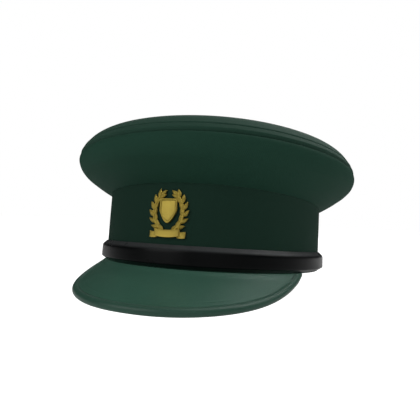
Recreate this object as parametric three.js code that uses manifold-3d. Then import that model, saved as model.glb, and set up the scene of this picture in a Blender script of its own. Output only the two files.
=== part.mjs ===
// Officer cap: a stiff cloth band, a flared crown with a rolled welt and a taut top,
// a black leather strap round the band, a short sloping peak with a rolled rim, and
// a wreath-and-shield badge. The cap lies on a flat surface on its peak and the back
// of its band. Millimetres, +Z up, front toward -Y, the wearer's left toward +X.

import * as THREE from 'three';
import Module from 'manifold-3d';
import { mergeVertices } from 'three/addons/utils/BufferGeometryUtils.js';

const wasm = await Module();
wasm.setup();

// Head opening and band
const headWidth = 173;
const headLength = 197.3;
const bandWall = 3;
const bandHeight = 48.9;
const bandFlare = 0.3;
const bandLean = 0.037;

// Crown
const crownWidth = 230.2;
const crownLength = 252.5;
const crownRise = 35.3;
const crownForward = 2.1;
const crownWall = 2;
const weltDiameter = 4.7;
const topDome = 3;

// Strap: strapRise is how far it sits above the band's lower edge
const strapRise = 0.6;
const strapWidth = 14;
const strapThickness = 3.5;
const strapUpperBevel = 3;
const strapLowerBevel = 2.2;

// Peak and its rolled rim
const peakWidth = 155.2;
const peakReach = 38.4;
const peakSetback = 82.1;
const peakDrop = 18.8;
const peakSquareness = 2.22;
const peakFlatness = 8.9;
const peakEndRise = 2.2;
const peakThickness = 2.4;
const peakTuck = 2;
const peakBulge = 1;
const peakEndWidth = 1;
const rimDiameter = 4.8;

// Badge
const badgeWidth = 27;
const badgeHeight = 30.4;
const badgeRise = 18.2;
const badgePlate = 1.1;
const badgeRelief = 0.6;

// Fits: the gap between neighbours, and how deep cloth and leather flatten at rest
const clearance = 0.3;
const settle = 0.4;

// Facets, and the distance within which corners are one
const ringSteps = 64;
const rollSides = 10;
const peakSteps = 40;
const weldDistance = 1e-5;

// Sizes that follow from those above
const bandHalfWidth = headWidth / 2 + bandWall;
const bandHalfLength = headLength / 2 + bandWall;
const rimRadius = rimDiameter / 2;
const restSlope = peakDrop / (2 * bandHalfLength + peakReach + rimRadius);
const restPitch = Math.atan(restSlope);

// Crown sections from the band seam to the edge of the top. side and end are shares
// of the overhang past the band, rise is a share of crownRise, and lean is the fall
// of the section toward the back for each millimetre of length.
const crownSections = {
  seam: { side: 0, end: 0, rise: 0, lean: bandLean },
  lowerBowl: { side: 0.3, end: 0.28, rise: 0.12, lean: 0.033 },
  bowl: { side: 0.6, end: 0.57, rise: 0.26, lean: 0.028 },
  crease: { side: 0.845, end: 0.82, rise: 0.4, lean: 0.024 },
  shoulder: { side: 0.955, end: 0.945, rise: 0.5, lean: 0.028 },
  widest: { side: 1, end: 1, rise: 0.61, lean: 0.03 },
  sideEdge: { side: 0.98, end: 0.965, rise: 0.67, lean: 0.025 },
  welt: { side: 0.97, end: 0.965, rise: 0.745, lean: 0.026 },
  topSeam: { side: 0.93, end: 0.915, rise: 0.81, lean: 0.028 },
  topBevel: { side: 0.79, end: 0.755, rise: 0.97, lean: 0.025 },
  topEdge: { side: 0.745, end: 0.705, rise: 1, lean: 0.025 },
};

// Rings of the top inside its edge: reach is a share of the edge's reach, dome a
// share of topDome.
const topRings = [
  { reach: 0.86, dome: 0.4 },
  { reach: 0.6, dome: 0.75 },
  { reach: 0.3, dome: 0.95 },
  { reach: 0, dome: 1 },
];

// Badge parts as shares of the badge's width and height. from and to are shares of half
// a circle, first is a share of the leaves' spacing, and spread is in radians.
const leafShares = { length: 0.19, width: 0.08 };
const wreathShares = {
  reach: 0.37, climb: 0.4, middle: 0.53, from: -0.47, to: 0.3, stem: 0.04, pairs: 7, first: 0.6, spread: 0.5,
};
const shieldShares = { width: 0.42, height: 0.5, foot: 0.3, curve: 0.5, roundness: 1.8 };
const scrollShares = { width: 0.86, height: 0.15, sag: 0.05 };

// Outline of a leaf: along is a share of its length, bow of half its width.
const leafOutline = [
  { along: 0, bow: 0 },
  { along: 0.3, bow: 0.9 },
  { along: 0.65, bow: 0.8 },
  { along: 1, bow: 0 },
  { along: 0.65, bow: -0.8 },
  { along: 0.3, bow: -0.9 },
];

// A ring is an ellipse that leans toward the back: x across, y along, z up.
function ring(halfWidth, halfLength, rise, lean = 0, forward = 0) {
  return { halfWidth, halfLength, rise, lean, forward };
}

function ringPoint(r, angle) {
  const x = r.halfWidth * Math.sin(angle);
  const y = -r.halfLength * Math.cos(angle) - r.forward;
  return new THREE.Vector3(x, y, r.rise - r.lean * y);
}

function moved(r, outward, up) {
  return { ...r, halfWidth: r.halfWidth + outward, halfLength: r.halfLength + outward, rise: r.rise + up };
}

function crownRing(name) {
  const s = crownSections[name];
  const seamWidth = bandHalfWidth + bandFlare;
  const seamLength = bandHalfLength + bandFlare;
  const halfWidth = seamWidth + s.side * (crownWidth / 2 - seamWidth);
  const halfLength = seamLength + s.end * (crownLength / 2 - seamLength);
  return ring(halfWidth, halfLength, bandHeight + s.rise * crownRise, s.lean, crownForward * Math.sqrt(s.end));
}

// The inner face of a cloth wall: every ring moved inward, square to the profile. At
// an open edge it moves level instead, so that the edge is cut flat.
function innerFace(rings, wall) {
  return rings.map((r, i) => {
    const before = rings[Math.max(i - 1, 0)];
    const after = rings[Math.min(i + 1, rings.length - 1)];
    const run = after.halfWidth - before.halfWidth;
    const climb = after.rise - before.rise;
    const length = Math.hypot(run, climb);
    if (r.halfWidth === 0) return moved(r, 0, -wall);
    if (i === 0 || i === rings.length - 1) return moved(r, (-wall * length) / climb, 0);
    return moved(r, (-wall * climb) / length, (wall * run) / length);
  });
}

// Joins sections, each a closed loop of points, into one closed surface. Sections
// either come round to the first again or end in two flat caps.
function loft(sections, comesRound) {
  const positions = [];
  const face = (a, b, c) => {
    if (a.equals(b) || b.equals(c) || c.equals(a)) return;
    positions.push(...a.toArray(), ...b.toArray(), ...c.toArray());
  };
  const count = sections.length;
  const spans = comesRound ? count : count - 1;
  for (let i = 0; i < spans; i++) {
    const near = sections[i];
    const far = sections[(i + 1) % count];
    near.forEach((point, j) => {
      const k = (j + 1) % near.length;
      face(point, near[k], far[k]);
      face(point, far[k], far[j]);
    });
  }
  if (!comesRound) {
    const first = sections[0];
    const last = sections[count - 1];
    for (let j = 1; j < first.length - 1; j++) {
      face(first[0], first[j + 1], first[j]);
      face(last[0], last[j], last[j + 1]);
    }
  }
  return facingOut(closed(positions));
}

function closed(positions) {
  const geometry = new THREE.BufferGeometry();
  geometry.setAttribute('position', new THREE.Float32BufferAttribute(positions, 3));
  return mergeVertices(geometry, weldDistance);
}

// Turns every face round if the surface encloses a negative volume.
function facingOut(geometry) {
  const p = geometry.getAttribute('position');
  const index = geometry.getIndex().array;
  const corner = (i) => new THREE.Vector3().fromBufferAttribute(p, index[i]);
  let volume = 0;
  for (let i = 0; i < index.length; i += 3) {
    volume += corner(i).dot(corner(i + 1).cross(corner(i + 2)));
  }
  if (volume < 0) index.reverse();
  return geometry;
}

// A ring solid: the same closed profile of rings at every angle.
function ringSolid(profile) {
  const sections = [];
  for (let i = 0; i < ringSteps; i++) {
    const angle = (i / ringSteps) * 2 * Math.PI;
    sections.push(profile.map((r) => ringPoint(r, angle)));
  }
  return loft(sections, true);
}

function toManifold(geometry) {
  const bare = geometry.clone();
  bare.deleteAttribute('normal');
  bare.deleteAttribute('uv');
  const merged = mergeVertices(bare, weldDistance);
  return new wasm.Manifold(new wasm.Mesh({
    numProp: 3,
    vertProperties: new Float32Array(merged.getAttribute('position').array),
    triVerts: new Uint32Array(merged.getIndex().array),
  }));
}

function toGeometry(solid) {
  const mesh = solid.getMesh();
  const geometry = new THREE.BufferGeometry();
  geometry.setAttribute('position', new THREE.Float32BufferAttribute(mesh.vertProperties, 3));
  geometry.setIndex(Array.from(mesh.triVerts));
  return geometry;
}

// Height of the resting surface in the cap's own frame.
function floorHeight(y) {
  return settle - restSlope * (bandHalfLength - y);
}

// Flattens what reaches below the resting surface.
function flattened(geometry) {
  const reach = crownLength + peakReach;
  const depth = peakDrop;
  const slab = new THREE.BoxGeometry(2 * reach, 2 * reach, depth);
  slab.translate(0, 0, -depth / 2);
  slab.rotateX(restPitch);
  slab.translate(0, bandHalfLength, settle);
  return toGeometry(toManifold(geometry).subtract(toManifold(slab)));
}

// The band: a plain upright wall that widens a little toward the crown seam.
function band() {
  const top = bandHeight - clearance;
  return flattened(ringSolid([
    ring(bandHalfWidth, bandHalfLength, 0),
    ring(bandHalfWidth + bandFlare, bandHalfLength + bandFlare, top, bandLean),
    ring(bandHalfWidth + bandFlare - bandWall, bandHalfLength + bandFlare - bandWall, top, bandLean),
    ring(bandHalfWidth - bandWall, bandHalfLength - bandWall, 0),
  ]));
}

// The crown's side: one cloth wall that flares out from the seam and turns in again.
function crownSide() {
  const names = ['seam', 'lowerBowl', 'bowl', 'crease', 'shoulder', 'widest', 'sideEdge'];
  const outer = names.map(crownRing);
  return ringSolid([...outer, ...innerFace(outer, crownWall).reverse()]);
}

// A round profile at a ring, for the rolled welt.
function rollProfile(centre, radius, sides) {
  return Array.from({ length: sides }, (_, i) => {
    const turn = (i / sides) * 2 * Math.PI;
    return moved(centre, radius * Math.cos(turn), radius * Math.sin(turn));
  });
}

function crownWelt() {
  const outermost = crownRing('welt');
  const radius = weltDiameter / 2;
  return ringSolid(rollProfile(moved(outermost, -radius, 0), radius, rollSides));
}

// The top: a bevelled edge that rises from the welt, and a taut, slightly domed cloth.
function crownTop() {
  const seam = crownRing('topSeam');
  const edge = crownRing('topEdge');
  const outer = [moved(seam, 0, clearance), crownRing('topBevel'), edge];
  for (const { reach, dome } of topRings) {
    const flat = { ...edge, halfWidth: edge.halfWidth * reach, halfLength: edge.halfLength * reach };
    outer.push(moved(flat, 0, dome * topDome));
  }
  return ringSolid([...outer, ...innerFace(outer, crownWall).reverse()]);
}

// The strap: a closed loop round the band with wide bevels above and below.
function chinStrap() {
  const inside = ring(bandHalfWidth + clearance, bandHalfLength + clearance, strapRise);
  const soft = strapThickness / 8;
  return ringSolid([
    moved(inside, 0, 0),
    moved(inside, strapThickness - soft, strapLowerBevel - soft),
    moved(inside, strapThickness, strapLowerBevel + soft),
    moved(inside, strapThickness, strapWidth - strapUpperBevel - soft),
    moved(inside, strapThickness - soft, strapWidth - strapUpperBevel + soft),
    moved(inside, bandFlare, strapWidth),
  ]);
}

// Centre line of the peak's rim: a squared half oval that lies level with the resting
// surface in front and lifts toward the band at the sides.
function rimCentre(turn) {
  const across = Math.abs(Math.sin(turn));
  const x = (peakWidth / 2) * Math.sign(turn) * across ** (2 / peakSquareness);
  const oval = peakReach + peakSetback;
  const y = -(bandHalfLength - peakSetback) - oval * Math.cos(turn) ** (2 / peakSquareness);
  const level = (at) => floorHeight(at) + rimRadius - settle;
  const lift = peakEndRise - level(peakSetback - bandHalfLength);
  return new THREE.Vector3(x, y, level(y) + lift * across ** peakFlatness);
}

// Frame of the rim at a turn: its centre, the level direction toward the cap, and up.
function rimFrame(turn) {
  const step = 1e-3;
  const centre = rimCentre(turn);
  const along = rimCentre(turn + step).sub(rimCentre(turn - step)).normalize();
  const inward = new THREE.Vector3(-along.y, along.x, 0).normalize();
  const up = new THREE.Vector3().crossVectors(along, inward);
  return { centre, inward, up };
}

// The line inside the rim that the peak's plate reaches to.
function plateEdge(turn) {
  const { centre, inward } = rimFrame(turn);
  return centre.addScaledVector(inward, rimRadius + clearance);
}

// The turn at which a line round the peak passes a given distance outside the band,
// found by halving the stretch from the front to just short of the side.
function turnOutside(line, outside) {
  const halvings = 40;
  const nearSide = Math.PI / 2 - 0.01;
  let low = 0;
  let high = nearSide;
  for (let i = 0; i < halvings; i++) {
    const turn = (low + high) / 2;
    const p = line(turn);
    const reach = Math.hypot(p.x / (bandHalfWidth + outside), p.y / (bandHalfLength + outside));
    if (reach > 1) low = turn;
    else high = turn;
  }
  return low;
}

function peakRim() {
  const end = turnOutside(rimCentre, 0);
  const sections = [];
  for (let i = 0; i <= peakSteps; i++) {
    const { centre, inward, up } = rimFrame(end * (2 * (i / peakSteps) - 1));
    sections.push(Array.from({ length: rollSides }, (_, j) => {
      const turn = ((j + 0.5) / rollSides) * 2 * Math.PI;
      return centre.clone()
        .addScaledVector(inward, rimRadius * Math.sin(turn))
        .addScaledVector(up, rimRadius * Math.cos(turn));
    }));
  }
  return flattened(loft(sections, false));
}

// The peak: a stiff plate from under the band's edge to the rim. Its root follows the
// band, its other edge follows the rim, and it bulges a little between them. At each
// side it narrows to peakEndWidth.
function peak() {
  const edgeEnd = turnOutside(plateEdge, peakEndWidth - peakTuck);
  const endPoint = plateEdge(edgeEnd);
  const rootEnd = Math.atan2(endPoint.x / bandHalfWidth, -endPoint.y / bandHalfLength);
  const root = ring(bandHalfWidth - peakTuck, bandHalfLength - peakTuck, -clearance);
  const across = [0, 0.25, 0.5, 0.75, 1];
  const sections = [];
  for (let i = 0; i <= peakSteps; i++) {
    const share = 2 * (i / peakSteps) - 1;
    const from = ringPoint(root, rootEnd * share);
    const edge = plateEdge(edgeEnd * share);
    edge.z += peakThickness / 2;
    const top = across.map((part) => {
      const point = from.clone().lerp(edge, part);
      point.z += peakBulge * Math.sin(Math.PI * part) * (1 - share * share);
      return point;
    });
    const below = top.map((point) => point.clone().setZ(point.z - peakThickness));
    sections.push([...top, ...below.reverse()]);
  }
  return loft(sections, false);
}

// Badge parts are drawn upright, x as a share of the badge's width and y of its height,
// and rise toward the viewer in z. Each one is drawn out to size and bent back to the
// curve of the band before it is joined.
function bent(geometry) {
  geometry.scale(badgeWidth, badgeHeight, 1);
  const p = geometry.getAttribute('position');
  for (let i = 0; i < p.count; i++) {
    const share = p.getX(i) / bandHalfWidth;
    p.setZ(i, p.getZ(i) - bandHalfLength * (1 - Math.sqrt(1 - share * share)));
  }
  return toManifold(geometry);
}

// A plate of a given width between a lower and an upper edge, each worked out from x.
function plate(width, lower, upper, thickness) {
  const steps = 10;
  const sections = [];
  for (let i = 0; i <= steps; i++) {
    const share = 2 * (i / steps) - 1;
    const x = (width / 2) * share;
    sections.push([
      new THREE.Vector3(x, lower(share), 0),
      new THREE.Vector3(x, upper(share), 0),
      new THREE.Vector3(x, upper(share), thickness),
      new THREE.Vector3(x, lower(share), thickness),
    ]);
  }
  return loft(sections, false);
}

// A leaf: a pointed oval with a ridge along its middle.
function leaf() {
  const { length, width } = leafShares;
  const outline = leafOutline.map(({ along, bow }) => new THREE.Vector3(length * along, (width / 2) * bow, 0));
  const ridge = new THREE.Vector3(length / 2, 0, badgePlate + badgeRelief);
  const positions = [];
  const face = (a, b, c) => positions.push(...a.toArray(), ...b.toArray(), ...c.toArray());
  outline.forEach((a, i) => {
    const b = outline[(i + 1) % outline.length];
    const upperA = a.clone().setZ(badgePlate);
    const upperB = b.clone().setZ(badgePlate);
    face(a, b, upperB);
    face(a, upperB, upperA);
    face(upperA, upperB, ridge);
    if (i > 0 && i < outline.length - 1) face(outline[0], b, a);
  });
  return facingOut(closed(positions));
}

// One branch of the wreath: a stem on an oval, with leaves along both its sides and
// one at its tip.
function branch(side) {
  const w = wreathShares;
  const onOval = (turn, grow) => new THREE.Vector2(
    side * (w.reach + grow) * Math.cos(turn),
    w.middle + (w.climb + grow) * Math.sin(turn),
  );
  const turnAt = (share) => Math.PI * (w.from + (w.to - w.from) * share);
  const stemSteps = 10;
  const outerEdge = [];
  const innerEdge = [];
  for (let i = 0; i <= stemSteps; i++) {
    outerEdge.push(onOval(turnAt(i / stemSteps), w.stem / 2));
    innerEdge.unshift(onOval(turnAt(i / stemSteps), -w.stem / 2));
  }
  const stem = new THREE.Shape([...outerEdge, ...innerEdge]);
  let solid = bent(new THREE.ExtrudeGeometry(stem, { depth: badgePlate, bevelEnabled: false }));
  const addLeaf = (share, spread) => {
    const turn = turnAt(share);
    const foot = onOval(turn, 0);
    const heading = new THREE.Vector2(-side * w.reach * Math.sin(turn), w.climb * Math.cos(turn));
    const blade = leaf();
    blade.rotateZ(heading.angle() + spread);
    blade.translate(foot.x, foot.y, 0);
    solid = solid.add(bent(blade));
  };
  for (let i = 0; i < w.pairs; i++) {
    addLeaf((i + w.first) / w.pairs, w.spread);
    addLeaf((i + w.first) / w.pairs, -w.spread);
  }
  addLeaf(1, 0);
  return solid;
}

// The plain shield: straight top, curved sides that meet in a point.
function shield() {
  const { width, height, foot, curve, roundness } = shieldShares;
  const lower = (share) => foot + height * curve * Math.abs(share) ** roundness;
  return plate(width, lower, () => foot + height, badgePlate + badgeRelief);
}

// The plain scroll under the wreath: a bowed ribbon.
function scroll() {
  const { width, height, sag } = scrollShares;
  const lower = (share) => sag * share * share;
  const upper = (share) => lower(share) + height;
  return plate(width, lower, upper, badgePlate + badgeRelief);
}

// The badge: wreath, shield and scroll in one casting on the front of the band.
function badge() {
  const solid = branch(1).add(branch(-1)).add(bent(scroll())).add(bent(shield()));
  const geometry = toGeometry(solid);
  geometry.rotateX(Math.PI / 2);
  geometry.translate(0, -(bandHalfLength + bandFlare + clearance), badgeRise);
  return geometry;
}

function finish(colour, roughness, metalness) {
  return new THREE.MeshStandardMaterial({ color: colour, roughness, metalness });
}

function named(name, geometry, material) {
  const mesh = new THREE.Mesh(geometry, material);
  mesh.name = name;
  return mesh;
}

const cap = new THREE.Group();
cap.add(
  named('band', band(), finish('#1b2e26', 0.85, 0)),
  named('crown_side', crownSide(), finish('#1e362c', 0.85, 0)),
  named('crown_welt', crownWelt(), finish('#2c4a3e', 0.7, 0)),
  named('crown_top', crownTop(), finish('#304c41', 0.8, 0)),
  named('chin_strap', chinStrap(), finish('#111415', 0.35, 0)),
  named('peak', peak(), finish('#345044', 0.45, 0)),
  named('peak_rim', peakRim(), finish('#2f483e', 0.4, 0)),
  named('badge', badge(), finish('#83722f', 0.35, 1)),
);

// Rest pose: the cap tips back until its peak lies on the surface, and the middle of
// its footprint stands over the origin.
cap.rotation.x = -restPitch;
const group = new THREE.Group();
group.add(cap);
const extent = new THREE.Box3().setFromObject(group, true);
const middle = extent.getCenter(new THREE.Vector3());
cap.position.set(-middle.x, -middle.y, -extent.min.z);

export default group;
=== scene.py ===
import math

import bpy
import numpy as np
from mathutils import Matrix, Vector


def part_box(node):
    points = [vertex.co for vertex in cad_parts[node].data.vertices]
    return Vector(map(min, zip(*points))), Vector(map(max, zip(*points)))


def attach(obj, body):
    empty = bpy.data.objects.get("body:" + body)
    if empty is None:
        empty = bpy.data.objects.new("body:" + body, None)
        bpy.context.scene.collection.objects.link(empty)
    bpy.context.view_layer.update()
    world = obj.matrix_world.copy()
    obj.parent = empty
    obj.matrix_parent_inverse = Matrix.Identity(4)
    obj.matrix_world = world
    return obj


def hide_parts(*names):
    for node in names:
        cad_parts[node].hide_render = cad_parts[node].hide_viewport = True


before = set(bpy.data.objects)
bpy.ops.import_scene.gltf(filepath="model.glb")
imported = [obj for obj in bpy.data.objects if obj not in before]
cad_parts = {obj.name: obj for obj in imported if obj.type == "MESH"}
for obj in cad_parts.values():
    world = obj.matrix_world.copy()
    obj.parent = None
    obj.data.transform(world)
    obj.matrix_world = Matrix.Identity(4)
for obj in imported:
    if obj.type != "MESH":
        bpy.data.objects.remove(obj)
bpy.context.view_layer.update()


# The view. The cap is seen from in front, a little to the wearer's left, by a short lens
# held close and just above the surface that the cap rests on. Lengths are millimetres.
VIEW_AZIMUTH = math.radians(18.03)
VIEW_ELEVATION = math.radians(-1.79)
VIEW_ROLL = math.radians(2.087)
VIEW_DISTANCE = 280
VIEW_AIM = np.array([-5.5, 6.05, 54.53])
LENS = 25.9
NEAREST_SEEN = 10
MILLIMETRE = 0.001


def camera_axes(azimuth, elevation, roll):
    """Right, up and backward directions of a camera, turned about the line of sight by roll."""
    level = math.cos(elevation)
    back = np.array([math.sin(azimuth) * level, -math.cos(azimuth) * level, math.sin(elevation)])
    level_right = np.array([math.cos(azimuth), math.sin(azimuth), 0])
    right = math.cos(roll) * level_right + math.sin(roll) * np.cross(back, level_right)
    return right, np.cross(back, right), back


def placed_at(axes, place):
    """The matrix of an object with given axes, at a place in millimetres."""
    columns = np.column_stack([*axes, np.asarray(place) * MILLIMETRE])
    return Matrix(np.vstack([columns, [0, 0, 0, 1]]).tolist())


view_axes = camera_axes(VIEW_AZIMUTH, VIEW_ELEVATION, VIEW_ROLL)
camera = bpy.data.objects.new("camera", bpy.data.cameras.new("camera"))
camera.data.lens = LENS
camera.data.clip_start = NEAREST_SEEN * MILLIMETRE
camera.matrix_world = placed_at(view_axes, VIEW_AIM + VIEW_DISTANCE * view_axes[2])
bpy.context.scene.collection.objects.link(camera)
bpy.context.scene.camera = camera


# The band. An upright oval wall of dark green wool over stiff board, sewn shut at the
# back. It sets the size of the head opening, and it is pressed flat where the cap rests.
HEAD_WIDTH = 173
HEAD_LENGTH = 197.3
BAND_WALL = 3
BAND_HEIGHT = 48.9
BAND_FLARE = 0.3
BAND_LEAN = 0.037
BAND_ROUNDING = 0.25
BAND_SPACING = 2
BAND_SLACK = 0.12
BAND_SEAM_DEPTH = 0.5
BAND_SEAM_WIDTH = 1.2
FIT = 0.3
PEAK_REACH = 38.4
PEAK_DROP = 18.8
RIM_RADIUS = 2.4
RING_STEPS = 384

BAND_GREEN = (0.0118, 0.034, 0.0232)
WOOL_SHADE = 0.04
WOOL_ROUGHNESS = 0.7
NAP_ROUGHNESS = 0.45
NAP_TINT = (0.55, 0.7, 0.62, 1)
TWILL_RIB = 1.1
TWILL_RELIEF = 0.025
TWILL_SLANT = 0.7
PICK_SLANT = -0.9
PICK_FINENESS = 1.9
PICK_HEIGHT = 0.35
NAP_HEIGHT = 2.5
THREAD_BEND = 5
WOOL_MOTTLE = 3

# Slow waves round the cap: share of the slack, waves to a turn, start, and turn with height.
SLACK_WAVES = (
    (0.5, 3, 1.1, 0.8),
    (0.3, 7, 0, 2.3),
    (0.2, 12, 0, -1.7),
)

band_half_width = HEAD_WIDTH / 2 + BAND_WALL
band_half_length = HEAD_LENGTH / 2 + BAND_WALL
rest_slope = PEAK_DROP / (2 * band_half_length + PEAK_REACH + RIM_RADIUS)
rest_tilt = math.atan(rest_slope)
ring_turns = np.arange(RING_STEPS) / RING_STEPS * 2 * math.pi


def rings(profile):
    """Leaning ovals, one row for each profile entry (a, b, rise, lean, forward) and one column
    for each turn t: x = a sin t, y = -b cos t - forward, z = rise - lean y."""
    a, b, rise, lean, forward = np.asarray(profile, float).T[:, :, None]
    x = a * np.sin(ring_turns)
    y = -b * np.cos(ring_turns) - forward
    return np.stack([x, y, rise - lean * y], axis=-1)


def tipped(points):
    """Points of the upright cap, turned back about the x axis by the rest tilt."""
    x, y, z = np.moveaxis(points, -1, 0)
    cos, sin = math.cos(rest_tilt), math.sin(rest_tilt)
    return np.stack([x, y * cos + z * sin, z * cos - y * sin], axis=-1)


band_top = [band_half_width + BAND_FLARE, band_half_length + BAND_FLARE, BAND_HEIGHT - FIT, BAND_LEAN, 0]
band_corner = np.array(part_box("band")[1]) / MILLIMETRE
rest_shift = band_corner - tipped(rings([band_top])).max(axis=(0, 1))


def at_rest(points):
    """Where points of the upright cap lie once it rests. Nothing passes below the surface."""
    placed = tipped(points) + np.array([0, rest_shift[1], rest_shift[2]])
    placed[..., 2] = np.maximum(placed[..., 2], 0)
    return placed


def rounded(corners, radii, steps=6):
    """A closed path through straight sides and soft corners. Each corner C becomes the curve
    (1-t)^2 A + 2t(1-t) C + t^2 B between the points A and B at one radius along its sides."""
    corners = np.asarray(corners, float)
    radii = np.broadcast_to(radii, len(corners))[:, None]
    before = np.roll(corners, 1, axis=0) - corners
    after = np.roll(corners, -1, axis=0) - corners
    start = corners + before / np.linalg.norm(before, axis=1, keepdims=True) * radii
    end = corners + after / np.linalg.norm(after, axis=1, keepdims=True) * radii
    t = np.linspace(0, 1, steps)[None, :, None]
    arcs = (1 - t) ** 2 * start[:, None] + 2 * t * (1 - t) * corners[:, None] + t**2 * end[:, None]
    return arcs.reshape(-1, corners.shape[1])


def evened(path, spacing):
    """A closed path with more points on its long sides, none further apart than the spacing."""
    step = np.roll(path, -1, axis=0) - path
    parts = np.maximum(np.ceil(np.linalg.norm(step, axis=1) / spacing), 1).astype(int)
    share = (np.arange(parts.sum()) - np.repeat(parts.cumsum() - parts, parts)) / np.repeat(parts, parts)
    return np.repeat(path, parts, axis=0) + share[:, None] * np.repeat(step, parts, axis=0)


def grid_faces(points, comes_round):
    """Vertices of a grid of points, then pairs of face corners and corner UVs. Columns come
    round to the first. Rows do too, or each end is closed by a fan of triangles to its middle.
    UVs are lengths along the grid."""
    rows, columns = points.shape[:2]
    index = np.arange(rows * columns).reshape(rows, columns)
    ahead = np.roll(index, -1, axis=1)
    u = np.append(0, np.linalg.norm(np.roll(points, -1, axis=1) - points, axis=2).mean(axis=0).cumsum())
    v = np.append(0, np.linalg.norm(np.roll(points, -1, axis=0) - points, axis=2).mean(axis=1).cumsum())
    last = rows if comes_round else rows - 1
    below, below_ahead = np.roll(index, -1, axis=0), np.roll(ahead, -1, axis=0)
    quads = np.stack([index, ahead, below_ahead, below], axis=-1)[:last].reshape(-1, 4)
    i, j = np.divmod(np.arange(last * columns), columns)
    across = np.stack([j, j + 1, j + 1, j], axis=-1)
    along = np.stack([i, i, i + 1, i + 1], axis=-1)
    vertices = points.reshape(-1, 3)
    shapes = [(quads, np.stack([u[across], v[along]], axis=-1))]
    if not comes_round:
        middle = (u[1:] + u[:-1]) / 2
        fans = (
            (ahead[0], index[0], points[0], u[1:], u[:-1], v[0]),
            (index[-1], ahead[-1], points[-1], u[:-1], u[1:], v[last]),
        )
        for one, other, row, one_u, other_u, height in fans:
            triangles = np.stack([one, other, np.full(columns, len(vertices))], axis=-1)
            fan_u = np.stack([one_u, other_u, middle], axis=-1)
            shapes.append((triangles, np.stack([fan_u, np.full_like(fan_u, height)], axis=-1)))
            vertices = np.vstack([vertices, row.mean(axis=0)])
    return vertices, shapes


def faces_inward(vertices, shapes):
    """Whether faces are turned inward: the sum of a . (b x c) over their triangles is negative."""
    volume = 0
    for faces, _ in shapes:
        for k in range(1, faces.shape[1] - 1):
            a, b, c = (vertices[faces[:, corner]] for corner in (0, k, k + 1))
            volume += np.einsum("ij,ij->", a, np.cross(b, c))
    return volume < 0


def made(name, grids, comes_round=True, flat_uv=False, marks=None):
    """One smooth closed object from grids of points, with its faces turned outward. flat_uv lays
    the UV map in the plane of x and y. marks holds a grid of values for each grid of points, for
    the attribute mark, where the middle of a closed end gets the mean of its row."""
    vertices, corners, sizes, uvs = [], [], [], []
    start = 0
    for grid in grids:
        grid_vertices, shapes = grid_faces(grid, comes_round)
        turn = -1 if faces_inward(grid_vertices, shapes) else 1
        for faces, face_uvs in shapes:
            corners.append(start + faces[:, ::turn].ravel())
            uvs.append(face_uvs[:, ::turn].reshape(-1, 2))
            sizes.append(np.full(len(faces), faces.shape[1]))
        vertices.append(grid_vertices)
        start += len(grid_vertices)
    vertices, corners, sizes, uvs = (np.concatenate(parts) for parts in (vertices, corners, sizes, uvs))
    if flat_uv:
        uvs = vertices[corners, :2]
    mesh = bpy.data.meshes.new(name)
    mesh.vertices.add(len(vertices))
    mesh.vertices.foreach_set("co", (vertices * MILLIMETRE).astype(np.float32).ravel())
    mesh.loops.add(len(corners))
    mesh.loops.foreach_set("vertex_index", corners.astype(np.int32))
    mesh.polygons.add(len(sizes))
    mesh.polygons.foreach_set("loop_start", (sizes.cumsum() - sizes).astype(np.int32))
    mesh.update(calc_edges=True)
    uv_map = mesh.uv_layers.new(name="surface")
    uv_map.data.foreach_set("uv", (uvs * MILLIMETRE).astype(np.float32).ravel())
    if marks is not None:
        ends = [[] if comes_round else [grid[0].mean(), grid[-1].mean()] for grid in marks]
        values = np.concatenate([np.append(grid, middles) for grid, middles in zip(marks, ends)])
        mark = mesh.attributes.new("mark", "FLOAT", "POINT")
        mark.data.foreach_set("value", values.astype(np.float32))
    mesh.shade_smooth()
    piece = bpy.data.objects.new(name, mesh)
    bpy.context.scene.collection.objects.link(piece)
    return piece


def slack(points, depth):
    """Cloth that isn't drawn quite even: each point moves in or out from the middle by at most
    depth millimetres, times the sum of share sin(waves angle + start + turn height)."""
    angle = np.arctan2(points[..., 0], -points[..., 1])
    height = points[..., 2] / BAND_HEIGHT
    wave = sum(
        share * np.sin(waves * angle + start + turn * height) for share, waves, start, turn in SLACK_WAVES)
    reach = np.linalg.norm(points[..., :2], axis=-1)
    points = points.copy()
    points[..., :2] *= (1 + depth * wave / np.maximum(reach, 1))[..., None]
    return points


def back_seam(points, depth, width):
    """A shallow sewn valley down the back: exp(-(x / width)^2) deep, on the rear half only."""
    valley = depth * np.exp(-(points[..., 0] / width) ** 2) * (points[..., 1] > 0)
    points = points.copy()
    points[..., 1] -= valley
    return points


def new_group(name, inputs):
    """A node group with named inputs, which puts out a height and a shade: the group, its
    inputs' outlets and its outputs' inlets."""
    group = bpy.data.node_groups.new(name, "ShaderNodeTree")
    for input_name, (kind, value) in inputs.items():
        socket = group.interface.new_socket(input_name, in_out="INPUT", socket_type=f"NodeSocket{kind}")
        if value is not None:
            socket.default_value = value
    for output_name in ("Height", "Shade"):
        group.interface.new_socket(output_name, in_out="OUTPUT", socket_type="NodeSocketFloat")
    given = group.nodes.new("NodeGroupInput").outputs
    return group, given, group.nodes.new("NodeGroupOutput").inputs


def calculated(tree, operation, first, second=None, third=None):
    """A Math node. An argument is a number or another node's output."""
    node = tree.nodes.new("ShaderNodeMath")
    node.operation = operation
    for slot, value in zip(node.inputs, (first, second, third)):
        if isinstance(value, bpy.types.NodeSocket):
            tree.links.new(value, slot)
        elif value is not None:
            slot.default_value = value
    return node.outputs[0]


def noise(tree, vector, scale, detail=2):
    """A Noise Texture's value."""
    node = tree.nodes.new("ShaderNodeTexNoise")
    tree.links.new(vector, node.inputs["Vector"])
    node.inputs["Scale"].default_value = scale
    node.inputs["Detail"].default_value = detail
    return node.outputs["Fac"]


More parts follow.
